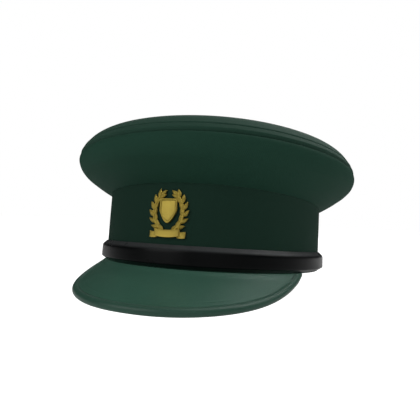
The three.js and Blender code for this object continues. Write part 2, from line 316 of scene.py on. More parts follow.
def swinging(tree, vector, scale, detail):
    """Noise that swings round 0."""
    return calculated(tree, "SUBTRACT", noise(tree, vector, scale, detail), 0.5)


def weave_group():
    """Twill cloth. Ribs are sin(u + slant v), crossed by finer picks sin(v + slant u), both bent a
    little by noise, under a soft nap. Puts out the height and a shade round 1."""
    group, given, put = new_group("cloth_weave", {
        "Surface": ("Vector", None),
        "Place": ("Vector", None),
        "Rib": ("Float", TWILL_RIB * MILLIMETRE),
        "Depth": ("Float", WOOL_SHADE),
    })
    split = group.nodes.new("ShaderNodeSeparateXYZ")
    group.links.new(given["Surface"], split.inputs[0])
    u, v = split.outputs["X"], split.outputs["Y"]
    turn = calculated(group, "DIVIDE", 2 * math.pi, given["Rib"])
    bend = calculated(group, "MULTIPLY", noise(group, given["Place"], scale=240), THREAD_BEND)
    rib_run = calculated(group, "MULTIPLY_ADD", v, TWILL_SLANT, u)
    pick_run = calculated(group, "MULTIPLY_ADD", u, PICK_SLANT, v)
    rib = calculated(group, "SINE", calculated(group, "MULTIPLY_ADD", rib_run, turn, bend))
    pick_phase = calculated(group, "MULTIPLY_ADD", pick_run, turn, bend)
    pick = calculated(group, "SINE", calculated(group, "MULTIPLY", pick_phase, PICK_FINENESS))
    woven = calculated(group, "MULTIPLY_ADD", pick, PICK_HEIGHT, rib)
    nap = swinging(group, given["Place"], scale=1500, detail=3)
    height = calculated(group, "MULTIPLY_ADD", nap, NAP_HEIGHT, woven)
    group.links.new(height, put["Height"])
    broad = swinging(group, given["Place"], scale=26, detail=3)
    mottled = calculated(group, "MULTIPLY_ADD", broad, WOOL_MOTTLE, height)
    group.links.new(calculated(group, "MULTIPLY_ADD", mottled, given["Depth"], 1), put["Shade"])
    return group


def new_material(name):
    """A material: itself, its node tree, its shader and its Texture Coordinate's outputs."""
    material = bpy.data.materials.new(name)
    material.use_nodes = True
    tree = material.node_tree
    return material, tree, tree.nodes["Principled BSDF"], tree.nodes.new("ShaderNodeTexCoord").outputs


def shaded(tree, colour, shade):
    """A colour times a shade that changes over the surface."""
    node = tree.nodes.new("ShaderNodeVectorMath")
    node.operation = "SCALE"
    node.inputs[0].default_value = colour
    tree.links.new(shade, node.inputs["Scale"])
    return node.outputs[0]


def bumped(tree, shader, height, depth):
    """Feeds a height into a shader's normal; depth is in millimetres."""
    bump = tree.nodes.new("ShaderNodeBump")
    bump.inputs["Distance"].default_value = depth * MILLIMETRE
    tree.links.new(height, bump.inputs["Height"])
    tree.links.new(bump.outputs["Normal"], shader.inputs["Normal"])


cloth_weave = weave_group()


def wool(name, green, sheen, shine):
    """Wool cloth: twill relief, mottled green, matt, with a little sheen at grazing angles. shine
    is the specular level, higher where the nap is worn smooth."""
    material, tree, shader, where = new_material(name)
    weave = tree.nodes.new("ShaderNodeGroup")
    weave.node_tree = cloth_weave
    weave.inputs["Rib"].default_value = TWILL_RIB * MILLIMETRE
    weave.inputs["Depth"].default_value = WOOL_SHADE
    tree.links.new(where["UV"], weave.inputs["Surface"])
    tree.links.new(where["Object"], weave.inputs["Place"])
    tree.links.new(shaded(tree, green, weave.outputs["Shade"]), shader.inputs["Base Color"])
    bumped(tree, shader, weave.outputs["Height"], TWILL_RELIEF)
    shader.inputs["Roughness"].default_value = WOOL_ROUGHNESS
    shader.inputs["Specular IOR Level"].default_value = shine
    shader.inputs["Sheen Weight"].default_value = sheen
    shader.inputs["Sheen Roughness"].default_value = NAP_ROUGHNESS
    shader.inputs["Sheen Tint"].default_value = NAP_TINT
    return material


def fitted(piece, material, node):
    """Gives a piece its finish and puts it in its CAD node's place."""
    piece.data.materials.append(material)
    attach(piece, "root")
    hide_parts(node)


band_profile = evened(rounded([
    [band_half_width, band_half_length, 0, 0, 0],
    band_top,
    [band_top[0] - BAND_WALL, band_top[1] - BAND_WALL, *band_top[2:]],
    [band_half_width - BAND_WALL, band_half_length - BAND_WALL, 0, 0, 0],
], BAND_ROUNDING), BAND_SPACING)
band_points = back_seam(slack(rings(band_profile), BAND_SLACK), BAND_SEAM_DEPTH, BAND_SEAM_WIDTH)
band = made("band_cloth", [at_rest(band_points)])
fitted(band, wool("band_wool", BAND_GREEN, sheen=0.02, shine=0.05), "band")


# The crown's side. One wall of the same wool, steamed to a bowl that flares out from the
# band and turns in again under the welt. Its upper edge is folded over to a soft lip.
CROWN_WIDTH = 230.2
CROWN_LENGTH = 252.5
CROWN_RISE = 35.3
CROWN_FORWARD = 2.1
CROWN_WALL = 2
CROWN_SLACK = 0.15
SIDE_FOLD = 0.35
SIDE_SPACING = 0.8
SIDE_SEAM_DEPTH = 0.6
SIDE_SEAM_WIDTH = 1.5
TOUCH = 0.05
CROWN_GREEN = (0.018, 0.058, 0.0387)

# Sections from the band seam upward. side and end are shares of the overhang past the
# band, rise is a share of the crown's rise, lean is the fall toward the back.
CROWN_SECTIONS = {
    "seam": {"side": 0, "end": 0, "rise": 0, "lean": 0.037},
    "lower_bowl": {"side": 0.3, "end": 0.28, "rise": 0.12, "lean": 0.033},
    "bowl": {"side": 0.6, "end": 0.57, "rise": 0.26, "lean": 0.028},
    "crease": {"side": 0.845, "end": 0.82, "rise": 0.4, "lean": 0.024},
    "shoulder": {"side": 0.955, "end": 0.945, "rise": 0.5, "lean": 0.028},
    "widest": {"side": 1, "end": 1, "rise": 0.62, "lean": 0.03},
    "side_edge": {"side": 0.99, "end": 0.98, "rise": 0.67, "lean": 0.025},
    "welt": {"side": 0.97, "end": 0.965, "rise": 0.745, "lean": 0.026},
    "top_seam": {"side": 0.93, "end": 0.915, "rise": 0.81, "lean": 0.028},
    "top_bevel": {"side": 0.79, "end": 0.755, "rise": 0.97, "lean": 0.025},
    "top_edge": {"side": 0.745, "end": 0.705, "rise": 1, "lean": 0.025},
}
SIDE_SECTIONS = ("seam", "lower_bowl", "bowl", "crease", "shoulder", "widest", "side_edge")


def crown_ring(name):
    """Profile entry (a, b, rise, lean, forward) of a crown section."""
    section = CROWN_SECTIONS[name]
    seam_width, seam_length = band_top[0], band_top[1]
    return np.array([
        seam_width + section["side"] * (CROWN_WIDTH / 2 - seam_width),
        seam_length + section["end"] * (CROWN_LENGTH / 2 - seam_length),
        BAND_HEIGHT + section["rise"] * CROWN_RISE,
        section["lean"],
        CROWN_FORWARD * math.sqrt(section["end"]),
    ])


def flowing(rows, spacing):
    """A smooth path through rows: Hermite cubics over the chord length, whose slope at a row is
    that of the chord between its neighbours."""
    rows = np.asarray(rows, float)
    at = np.append(0, np.linalg.norm(np.diff(rows[:, :3], axis=0), axis=1).cumsum())
    slope = np.gradient(rows, at, axis=0)
    t = np.linspace(0, at[-1], int(at[-1] / spacing) + 1)
    i = np.clip(np.searchsorted(at, t, side="right") - 1, 0, len(at) - 2)
    span = (at[i + 1] - at[i])[:, None]
    s = (t[:, None] - at[i][:, None]) / span
    return ((2 * s**3 - 3 * s**2 + 1) * rows[i] + (s**3 - 2 * s**2 + s) * span * slope[i]
            + (3 * s**2 - 2 * s**3) * rows[i + 1] + (s**3 - s**2) * span * slope[i + 1])


def outward(path):
    """Unit directions (dx, dz) square to a path of profile entries, on its outer side."""
    run, climb = np.gradient(path[:, 0]), np.gradient(path[:, 2])
    length = np.hypot(run, climb)
    return climb / length, -run / length


def offset(path, distance):
    """A path of profile entries moved outward by a distance, square to itself."""
    dx, dz = outward(path)
    return path + np.stack([dx, dx, dz, 0 * dx, 0 * dx], axis=1) * distance


def walled(outer, wall, fold, steps=8):
    """Closed profile of a wall: its outer path, a half-oval edge that stands out by the fold
    beyond the path's end, and its inner path back to a square lower edge."""
    middle = offset(outer, -wall / 2)
    dx, dz = outward(outer)
    turn = np.linspace(0, math.pi, steps + 2)[1:-1, None]
    square = np.array([dx[-1], dx[-1], dz[-1], 0, 0])
    along = np.array([-dz[-1], -dz[-1], dx[-1], 0, 0])
    edge = middle[-1] + wall / 2 * np.cos(turn) * square + fold * np.sin(turn) * along
    return np.vstack([outer, edge, offset(outer, -wall)[::-1]])


side_outer = flowing([crown_ring(name) for name in SIDE_SECTIONS], SIDE_SPACING)
side_outer[0, 2] -= FIT - TOUCH
side_wall = slack(rings(walled(side_outer, CROWN_WALL, SIDE_FOLD)), CROWN_SLACK)
crown_side = made("crown_side_cloth", [at_rest(back_seam(side_wall, SIDE_SEAM_DEPTH, SIDE_SEAM_WIDTH))])
crown_wool = wool("crown_wool", CROWN_GREEN, sheen=0.02, shine=0.05)
fitted(crown_side, crown_wool, "crown_side")


# The welt. A cord wrapped in the crown's wool and sewn in between side and top. Its upper
# face shows as a ledge, its outer edge is crisp, and its lower face is undercut. The spare
# cloth of its wrapping stands behind the edges of the side and the top.
WELT_RADIUS = 2.35
WELT_SPACING = 0.5

# Corners: how far out and up, in shares of the radius, and the rounding in millimetres.
WELT_CORNERS = (
    (1.08, -0.05, 0.4),
    (0.5, 1.08, 0.4),
    (-0.4, 1.1, 0.4),
    (-0.45, 1.6, 0.4),
    (-0.9, 1.6, 0.4),
    (-1, 0, 0.4),
    (-0.7, -1.7, 0.4),
    (0.2, -1.7, 0.4),
    (0.25, -1.1, 0.12),
    (0.5, -1.06, 0.12),
)

welt_centre = crown_ring("welt") - [WELT_RADIUS, WELT_RADIUS, 0, 0, 0]
welt_out, welt_up, welt_rounding = np.array(WELT_CORNERS).T
welt_reach = np.stack([welt_out, welt_out, welt_up, 0 * welt_up, 0 * welt_up], axis=1) * WELT_RADIUS
welt_profile = evened(rounded(welt_centre + welt_reach, welt_rounding), WELT_SPACING)
welt = made("crown_welt_roll", [at_rest(slack(rings(welt_profile), CROWN_SLACK))])
worn_wool = wool("crown_worn_wool", CROWN_GREEN, sheen=0.08, shine=0.14)
fitted(welt, worn_wool, "crown_welt")


# The top. One oval of wool drawn over a hoop: a steep bevelled edge rises from the welt,
# and the cloth inside it is taut and only slightly domed.
TOP_DOME = 3
TOP_DOMING = ((0.86, 0.4), (0.6, 0.75), (0.3, 0.95), (0.02, 1))
TOP_LIP = 0.6
TOP_SLACK = 0.1
TOP_SPACING = 1.5

top_edge = crown_ring("top_edge")
top_rows = [crown_ring("top_seam") + [0, 0, FIT, 0, 0], crown_ring("top_bevel"), top_edge]
for reach, dome in TOP_DOMING:
    top_rows.append(top_edge * [reach, reach, 1, 1, 1] + [0, 0, dome * TOP_DOME, 0, 0])
top_outer = flowing(top_rows, TOP_SPACING)
top_lip = [top_outer[0] - [CROWN_WALL / 2, CROWN_WALL / 2, TOP_LIP, 0, 0]]
top_profile = np.vstack([top_outer[::-1], top_lip, offset(top_outer, -CROWN_WALL)])
top_points = at_rest(slack(rings(top_profile), TOP_SLACK))
top = made("crown_top_cloth", [top_points], comes_round=False, flat_uv=True)
fitted(top, worn_wool, "crown_top")


# The strap. A closed loop of thick black leather round the foot of the band, its edges
# pared to wide bevels and its face polished. Its upper bevel carries a painted highlight.
STRAP_RISE = 0.6
STRAP_WIDTH = 14
STRAP_THICKNESS = 3.5
STRAP_UPPER_BEVEL = 3
STRAP_LOWER_BEVEL = 2.2
STRAP_ROUNDINGS = (0.25, 0.8, 1.6, 0.3)
STRAP_SPACING = 0.5
STRAP_HIGHLIGHT_STEEPNESS = 2
STRAP_BLACK = (0.0028, 0.0034, 0.0036)
# The paler colour of the painted highlight on the strap's upper bevel.
STRAP_PAINTED_HIGHLIGHT = (0.046, 0.049, 0.05)

LEATHER_SHADE = 0.16
LEATHER_RELIEF = 0.02
LEATHER_MOTTLE = 2
GRAIN_SCALE = 900
GRAIN_SMOOTHNESS = 0.4
GRAIN_HEIGHT = 0.4
PORE_HEIGHT = 0.5
GLOSS_CHANGE = 0.16
PATCH_CHANGE = 0.7
PATCH_LEAST = 0.65


def grain_group():
    """Leather grain: rounded cells of a Voronoi pattern under fine pores. Puts out the height
    and a shade round 1."""
    group, given, put = new_group("leather_grain", {
        "Place": ("Vector", None),
        "Depth": ("Float", LEATHER_SHADE),
    })
    cells = group.nodes.new("ShaderNodeTexVoronoi")
    cells.feature = "SMOOTH_F1"
    cells.inputs["Scale"].default_value = GRAIN_SCALE
    cells.inputs["Smoothness"].default_value = GRAIN_SMOOTHNESS
    group.links.new(given["Place"], cells.inputs["Vector"])
    pores = swinging(group, given["Place"], scale=2600, detail=2)
    domes = calculated(group, "MULTIPLY_ADD", cells.outputs["Distance"], -1, GRAIN_HEIGHT)
    height = calculated(group, "MULTIPLY_ADD", pores, PORE_HEIGHT, domes)
    group.links.new(height, put["Height"])
    broad = swinging(group, given["Place"], scale=38, detail=3)
    mottled = calculated(group, "MULTIPLY_ADD", broad, LEATHER_MOTTLE, height)
    group.links.new(calculated(group, "MULTIPLY_ADD", mottled, given["Depth"], 1), put["Shade"])
    return group


leather_grain = grain_group()


def leather(name, colour, worn_and_lit, gloss, shine):
    """Leather: pebbled grain, mottled colour, and a roughness round the gloss that changes a
    little from place to place. Where the piece's mark is 1 the colour turns, in patches, to a
    paler one: a painted highlight, and on the rim also wear. shine is the specular level."""
    material, tree, shader, where = new_material(name)
    grain = tree.nodes.new("ShaderNodeGroup")
    grain.node_tree = leather_grain
    grain.inputs["Depth"].default_value = LEATHER_SHADE
    tree.links.new(where["Object"], grain.inputs["Place"])
    # The mark says where the paler colour goes: painted highlight, and on the rim wear as well.
    paler_mark = tree.nodes.new("ShaderNodeAttribute")
    paler_mark.attribute_name = "mark"
    patch_noise = noise(tree, where["Object"], scale=170, detail=3)
    patches = calculated(tree, "MULTIPLY_ADD", patch_noise, PATCH_CHANGE, PATCH_LEAST)
    blend = tree.nodes.new("ShaderNodeMix")
    blend.data_type = "RGBA"
    tree.links.new(calculated(tree, "MULTIPLY", patches, paler_mark.outputs["Fac"]), blend.inputs["Factor"])
    tree.links.new(shaded(tree, colour, grain.outputs["Shade"]), blend.inputs["A"])
    tree.links.new(shaded(tree, worn_and_lit, grain.outputs["Shade"]), blend.inputs["B"])
    tree.links.new(blend.outputs["Result"], shader.inputs["Base Color"])
    polish = noise(tree, where["Object"], scale=60)
    rough = calculated(tree, "MULTIPLY_ADD", polish, GLOSS_CHANGE, gloss - GLOSS_CHANGE / 2)
    tree.links.new(rough, shader.inputs["Roughness"])
    bumped(tree, shader, grain.outputs["Height"], LEATHER_RELIEF)
    shader.inputs["Specular IOR Level"].default_value = shine
    return material


strap_inside = np.array([band_half_width + FIT, band_half_length + FIT, STRAP_RISE, 0, 0])
strap_corners = [strap_inside + [out, out, up, 0, 0] for out, up in (
    (0, 0),
    (STRAP_THICKNESS, STRAP_LOWER_BEVEL),
    (STRAP_THICKNESS, STRAP_WIDTH - STRAP_UPPER_BEVEL),
    (BAND_FLARE, STRAP_WIDTH),
)]
strap_profile = evened(rounded(strap_corners, STRAP_ROUNDINGS), STRAP_SPACING)
# Painted highlight: the upper bevel is painted paler, fully from half way up it.
up_bevel = (strap_profile[:, 2] - (STRAP_WIDTH - STRAP_UPPER_BEVEL)) / STRAP_UPPER_BEVEL
highlighted_bevel = np.repeat(np.clip(up_bevel * STRAP_HIGHLIGHT_STEEPNESS, 0, 1)[:, None], RING_STEPS, axis=1)
strap = made("chin_strap_leather", [at_rest(rings(strap_profile))], marks=[highlighted_bevel])
strap_leather = leather("strap_black", STRAP_BLACK, STRAP_PAINTED_HIGHLIGHT, gloss=0.3, shine=0.09)
fitted(strap, strap_leather, "chin_strap")


# The peak's rim. A leather-bound roll that follows the peak's edge, level with the
# surface in front, where it is pressed flat, and rising to the band at each side.
PEAK_WIDTH = 155.2
PEAK_SETBACK = 82.1
PEAK_SQUARENESS = 2.22
PEAK_FLATNESS = 8.9
PEAK_END_RISE = 2.2
RIM_TUCK = 1.8
TUCK_LIFT = 1
TUCK_REACH = 3
RIM_STEPS = 260
RIM_SIDES = 24
# How far the roll's top turns to the paler colour: wear on its crown and a painted highlight.
RIM_WEAR_AND_HIGHLIGHT = 0.7
RIM_WEAR_AND_HIGHLIGHT_NARROWNESS = 4
RIM_GREEN = (0.029, 0.084, 0.058)
RIM_WORN_AND_LIT = (0.063, 0.127, 0.096)
SEARCH_STEPS = 2000
SEARCH_SHORT = 0.01


def rim_level(y):
    """Height of the rim's centre where it lies on the surface: a radius over the rest slope."""
    return RIM_RADIUS - rest_slope * (band_half_length - y)


def rim_line(turn):
    """Centre of the rim: a squared half oval x = w sin^(2/n), y = -l cos^(2/n), that lies a radius
    above the surface and lifts by a high power of sin toward the sides."""
    across = np.abs(np.sin(turn))
    power = 2 / PEAK_SQUARENESS
    x = PEAK_WIDTH / 2 * np.sign(turn) * across**power
    y = -(band_half_length - PEAK_SETBACK) - (PEAK_REACH + PEAK_SETBACK) * np.cos(turn) ** power
    end_lift = PEAK_END_RISE - rim_level(PEAK_SETBACK - band_half_length)
    return np.stack([x, y, rim_level(y) + end_lift * across**PEAK_FLATNESS], axis=-1)


def rim_frame(turn):
    """Centre of the rim with its inward and upward directions."""
    centre = rim_line(turn)
    along = np.gradient(centre, axis=0)
    along /= np.linalg.norm(along, axis=1, keepdims=True)
    inward = np.stack([-along[:, 1], along[:, 0], 0 * along[:, 0]], axis=1)
    inward /= np.linalg.norm(inward, axis=1, keepdims=True)
    return centre, inward, np.cross(along, inward)


def turn_outside(line, outside):
    """The turn at which a line round the peak passes a distance outside the band."""
    turn = np.linspace(0, math.pi / 2 - SEARCH_SHORT, SEARCH_STEPS)
    points = line(turn)
    across = points[:, 0] / (band_half_width + outside)
    forward = points[:, 1] / (band_half_length + outside)
    return np.interp(-1, -np.hypot(across, forward), turn)


def tucked(points):
    """Leather pressed up under the band and the strap. At a distance d outside the band it
    lifts by the tuck's lift times exp(-(d / reach)^2), and stops just under what covers it."""
    x, y, z = np.moveaxis(points, -1, 0)
    reach = np.hypot(x / band_half_width, y / band_half_length)
    steepness = np.hypot(x / band_half_width**2, y / band_half_length**2) / reach
    outside = np.maximum((reach - 1) / steepness, 0)
    ceiling = outside * STRAP_LOWER_BEVEL / STRAP_THICKNESS - TOUCH
    lifted = z + TUCK_LIFT * np.exp(-(outside / TUCK_REACH) ** 2)
    height = np.where(outside < STRAP_THICKNESS, np.minimum(lifted, ceiling), lifted)
    return np.stack([x, y, height], axis=-1)


rim_end = turn_outside(rim_line, -RIM_TUCK)
rim_centre, rim_inward, rim_up = rim_frame(np.linspace(-rim_end, rim_end, RIM_STEPS))
roll_turn = (np.arange(RIM_SIDES) / RIM_SIDES * 2 * math.pi)[None, :, None]
rim_points = rim_centre[:, None] + RIM_RADIUS * (
    np.sin(roll_turn) * rim_inward[:, None] + np.cos(roll_turn) * rim_up[:, None])
# The roll is painted paler toward its top, as cos^narrowness of its turn from the top: wear and a painted
# highlight.
rim_wear_and_highlight = RIM_WEAR_AND_HIGHLIGHT * np.cos(roll_turn[..., 0]).clip(0) ** RIM_WEAR_AND_HIGHLIGHT_NARROWNESS
worn_and_lit_crown = np.repeat(rim_wear_and_highlight, RIM_STEPS, axis=0)
rim = made("peak_rim_binding", [at_rest(tucked(rim_points))], comes_round=False, marks=[worn_and_lit_crown])
rim_leather = leather("rim_green", RIM_GREEN, RIM_WORN_AND_LIT, gloss=0.36, shine=0.26)
fitted(rim, rim_leather, "peak_rim")


# The peak. A stiff crescent of green leather, tucked under the band, that swells a little
# between the band and the rim. Its edge lies over the rim's inner side, almost flush, with
# a shallow groove between them, and a faint creased line runs beside it.
PEAK_THICKNESS = 2.4
PEAK_TUCK = 2.8
PEAK_BULGE = 1
PEAK_END_WIDTH = 0.3
EDGE_INSIDE = 0.9
LIP_ACROSS = (1.7, 1.1)
LIP_ABOVE = (2.3, 2.36)
WRAP_FROM = 0.55
WRAP_TO = 2.05
CREASE_FROM_RIM = 3.4
CREASE_WIDTH = 0.35
CREASE_DEPTH = 0.08
ACROSS_STEPS = 100
ACROSS_CROWDING = 1.5
LIP_STEPS = 8
WRAP_STEPS = 12
PEAK_GREEN = (0.043, 0.119, 0.083)


def plate_edge(turn):
    """Line inside the rim that the plate reaches to."""
    centre, inward, _ = rim_frame(turn)
    return centre + inward * (RIM_RADIUS * EDGE_INSIDE)


def curve(start, bend, end, t):
    """Points (1-t)^2 start + 2t(1-t) bend + t^2 end."""
    return (1 - t) ** 2 * start + 2 * t * (1 - t) * bend + t**2 * end


plate_end = turn_outside(plate_edge, PEAK_END_WIDTH - PEAK_TUCK)
sideways = np.linspace(-1, 1, RIM_STEPS)
edge_line = plate_edge(plate_end * sideways)
lip_centre, lip_inward, lip_up = [line[:, None] for line in rim_frame(plate_end * sideways)]
wrap_turn = np.linspace(WRAP_FROM, WRAP_TO, WRAP_STEPS)[None, :, None]
wrap = lip_centre + (RIM_RADIUS + TOUCH) * (np.sin(wrap_turn) * lip_inward + np.cos(wrap_turn) * lip_up)
lip_start, lip_bend = [
    lip_centre + across * lip_inward + above * lip_up for across, above in zip(LIP_ACROSS, LIP_ABOVE)]
lip = curve(lip_start, lip_bend, wrap[:, :1], np.linspace(0, 1, LIP_STEPS)[None, 1:-1, None])
root_end = math.atan2(edge_line[-1, 0] / band_half_width, -edge_line[-1, 1] / band_half_length)
root_line = np.stack([
    (band_half_width - PEAK_TUCK) * np.sin(root_end * sideways),
    -(band_half_length - PEAK_TUCK) * np.cos(root_end * sideways),
    np.full(RIM_STEPS, -TOUCH),
], axis=-1)
edge_line[:, 2] += PEAK_THICKNESS / 2
part = 1 - np.linspace(1, 0, ACROSS_STEPS)[None, :] ** ACROSS_CROWDING
swell = PEAK_BULGE * np.sin(math.pi * part) * (1 - sideways[:, None] ** 2)
plate_below = root_line[:, None] * (1 - part[..., None]) + edge_line[:, None] * part[..., None]
plate_below[..., 2] += swell - PEAK_THICKNESS
plate_top = root_line[:, None] * (1 - part[..., None]) + lip_start * part[..., None]
from_rim = (1 - part) * np.linalg.norm(edge_line - root_line, axis=1)[:, None]
plate_top[..., 2] += swell
plate_top[..., 2] -= CREASE_DEPTH * np.exp(-((from_rim - CREASE_FROM_RIM) / CREASE_WIDTH) ** 2)
plate_points = tucked(np.concatenate([plate_top, lip, wrap, plate_below[:, -2::-1]], axis=1))
plate = made("peak_leather", [at_rest(plate_points)], comes_round=False)
plate_leather = leather("peak_green", PEAK_GREEN, PEAK_GREEN, gloss=0.4, shine=0.3)
fitted(plate, plate_leather, "peak")


# The badge. One gilt brass casting, bent to the front of the band and pinned through it:
# two laurel branches round a plain bordered shield, over a plain folded scroll. Its
# drawing is in millimetres across and up from the middle of its foot.
BADGE_WIDTH = 27
BADGE_HEIGHT = 30.4
BADGE_RISE = 18.2
BADGE_PLATE = 1.1
BADGE_RELIEF = 0.9
BADGE_BACK = 0.1
WREATH_HALF_WIDTH = 0.37 * BADGE_WIDTH
WREATH_HALF_HEIGHT = 0.4 * BADGE_HEIGHT
WREATH_MIDDLE = 0.53 * BADGE_HEIGHT
WREATH_FROM = -0.47 * math.pi
WREATH_TO = 0.3 * math.pi
STEM_RADIUS = 0.55
STEM_STEPS = 40
STEM_SIDES = 12
LEAF_PAIRS = 7
LEAF_FIRST = 0.6
LEAF_SPREAD = 0.5
LEAF_LENGTH = 5.4
LEAF_WIDTH = 2.5
LEAF_FOOT = 0.75
LEAF_FULLNESS = 0.9
LEAF_DOME = 0.75
LEAF_TIP_LIFT = 0.25
LEAF_RIB_HEIGHT = 0.22
LEAF_RIB_WIDTH = 0.16
LEAF_SPAN = (0.01, 0.99)
LEAF_GRID = (16, 13)
SHIELD_FOOT = 0.3 * BADGE_HEIGHT
SHIELD_HEIGHT = 0.5 * BADGE_HEIGHT
SHIELD_HALF_WIDTH = 0.21 * BADGE_WIDTH
SHIELD_POINT = 0.5
SHIELD_SQUARENESS = 1.8
SHIELD_STEPS = 49
SHIELD_SPACING = 0.4
SCROLL_GRID = (41, 15)
SCROLL_EDGE = 0.3
SCROLL_EDGE_SHARPNESS = 6
GILT = (0.455, 0.347, 0.072)
GILT_RECESS = (0.12, 0.09, 0.024)
GILT_RELIEF = 0.03
GILT_ROUGHNESS = 0.42
GILT_SCRATCHES = 0.2
TARNISH = 0.5
TARNISH_HEIGHTS = (0.55, 1.15)

# The shield's surface, from its edge inward: share of the outline, and height.
SHIELD_PROFILE = (
    (1, 0.1), (1, 1.5), (0.98, 1.75), (0.94, 1.88), (0.87, 1.82), (0.84, 1.55), (0.82, 1.25),
    (0.7, 1.28), (0.5, 1.34), (0.25, 1.38), (0.03, 1.39))


def on_wreath(turn, side):
    """Point of a branch's oval, x = a cos t and y = middle + b sin t, and its heading there."""
    x = side * WREATH_HALF_WIDTH * np.cos(turn)
    y = WREATH_MIDDLE + WREATH_HALF_HEIGHT * np.sin(turn)
    heading = np.arctan2(WREATH_HALF_HEIGHT * np.cos(turn), -side * WREATH_HALF_WIDTH * np.sin(turn))
    return x, y, heading


def stem(side):
    """A branch's stem: a round rod along its oval."""
    x, y, heading = on_wreath(np.linspace(WREATH_FROM, WREATH_TO, STEM_STEPS)[:, None], side)
    turn = (np.arange(STEM_SIDES) / STEM_SIDES * 2 * math.pi)[None, :]
    across = STEM_RADIUS * np.cos(turn)
    height = BADGE_PLATE + STEM_RADIUS * np.sin(turn) + 0 * x
    return np.stack([x - across * np.sin(heading), y + across * np.cos(heading), height], axis=-1)


def leaf(x, y, heading):
    """A laurel leaf: half width sin(pi s^foot)^fullness along its length s, domed across w as
    1 - w^2, with a raised rib exp(-(w / width)^2) and a tip that lifts. Flat underneath."""
    s = np.linspace(*LEAF_SPAN, LEAF_GRID[0])[:, None]
    w = np.linspace(-1, 1, LEAF_GRID[1])[None, :]
    fullness = np.sin(math.pi * s**LEAF_FOOT) ** LEAF_FULLNESS
    half = LEAF_WIDTH / 2 * fullness
    height = BADGE_PLATE + BADGE_RELIEF * (LEAF_DOME * (1 - w**2) * fullness + LEAF_TIP_LIFT * s)
    height += LEAF_RIB_HEIGHT * np.exp(-((w / LEAF_RIB_WIDTH) ** 2)) * np.sin(math.pi * s)
    top = np.stack([LEAF_LENGTH * s + 0 * w, half * w, height], axis=-1)
    below = np.stack([LEAF_LENGTH * s + 0 * w, half * w[:, ::-1], 0 * height + BADGE_BACK], axis=-1)
    along, across, height = np.moveaxis(np.concatenate([top, below], axis=1), -1, 0)
    cos, sin = math.cos(heading), math.sin(heading)
    return np.stack([x + along * cos - across * sin, y + along * sin + across * cos, height], axis=-1)


def shield():
    """A bordered shield: straight top, sides that fall as |x|^squareness to a point. Its outline
    is drawn in toward its middle by each share of the profile, at that height."""
    x = np.linspace(-1, 1, SHIELD_STEPS)
    lower = SHIELD_FOOT + SHIELD_HEIGHT * SHIELD_POINT * np.abs(x) ** SHIELD_SQUARENESS
    upper = np.full(SHIELD_STEPS, SHIELD_FOOT + SHIELD_HEIGHT)
    outline = evened(np.stack([
        SHIELD_HALF_WIDTH * np.append(x, x[::-1]),
        np.append(lower, upper),
    ], axis=1), SHIELD_SPACING)
    middle = outline.mean(axis=0)
    reach, height = np.array(SHIELD_PROFILE).T[:, :, None]
    flat = middle + reach[..., None] * (outline - middle)
    return np.concatenate([flat, np.broadcast_to(height[..., None], (*flat.shape[:2], 1))], axis=-1)


def ribbon(centre_x, half_width, foot, tall, bow, base, crown):
    """A length of scroll: a bowed strip whose lower edge is foot + bow x^2, thicker in the middle,
    with its two long edges turned up."""
    s = np.linspace(-1, 1, SCROLL_GRID[0])[:, None]
    w = np.linspace(0, 1, SCROLL_GRID[1])[None, :]
    x = centre_x + half_width * s + 0 * w
    y = foot + bow * s**2 + tall * w
    edge = (2 * np.abs(w - 0.5)) ** SCROLL_EDGE_SHARPNESS
    height = base + crown * (1 - s**2) ** 0.5 + SCROLL_EDGE * edge
    top = np.stack([x, y, height], axis=-1)
    below = np.stack([x, y[:, ::-1], 0 * height + BADGE_BACK], axis=-1)
    return np.concatenate([top, below], axis=1)


def on_band(points):
    """Badge points (across, up, toward the viewer) bent onto the front of the band."""
    x, y, z = np.moveaxis(points, -1, 0)
    front = band_half_length + BAND_FLARE + FIT
    back = band_half_length * (1 - np.sqrt(1 - (x / band_half_width) ** 2))
    return at_rest(np.stack([x, -(front - back) - z, BADGE_RISE + y], axis=-1))


badge_grids = []
for side in (1, -1):
    badge_grids.append(stem(side))
    for pair in range(LEAF_PAIRS):
        turn = WREATH_FROM + (WREATH_TO - WREATH_FROM) * (pair + LEAF_FIRST) / LEAF_PAIRS
        x, y, heading = on_wreath(turn, side)
        badge_grids += [leaf(x, y, heading + LEAF_SPREAD), leaf(x, y, heading - LEAF_SPREAD)]
    badge_grids.append(leaf(*on_wreath(WREATH_TO, side)))
badge_grids.append(shield())
badge_grids.append(ribbon(centre_x=0, half_width=8.2, foot=0.6, tall=4.4, bow=0.9, base=2, crown=0.5))
for side in (1, -1):
    badge_grids.append(
        ribbon(centre_x=side * 9.2, half_width=2.6, foot=0.2, tall=3.8, bow=0.4, base=0.9, crown=0.3))


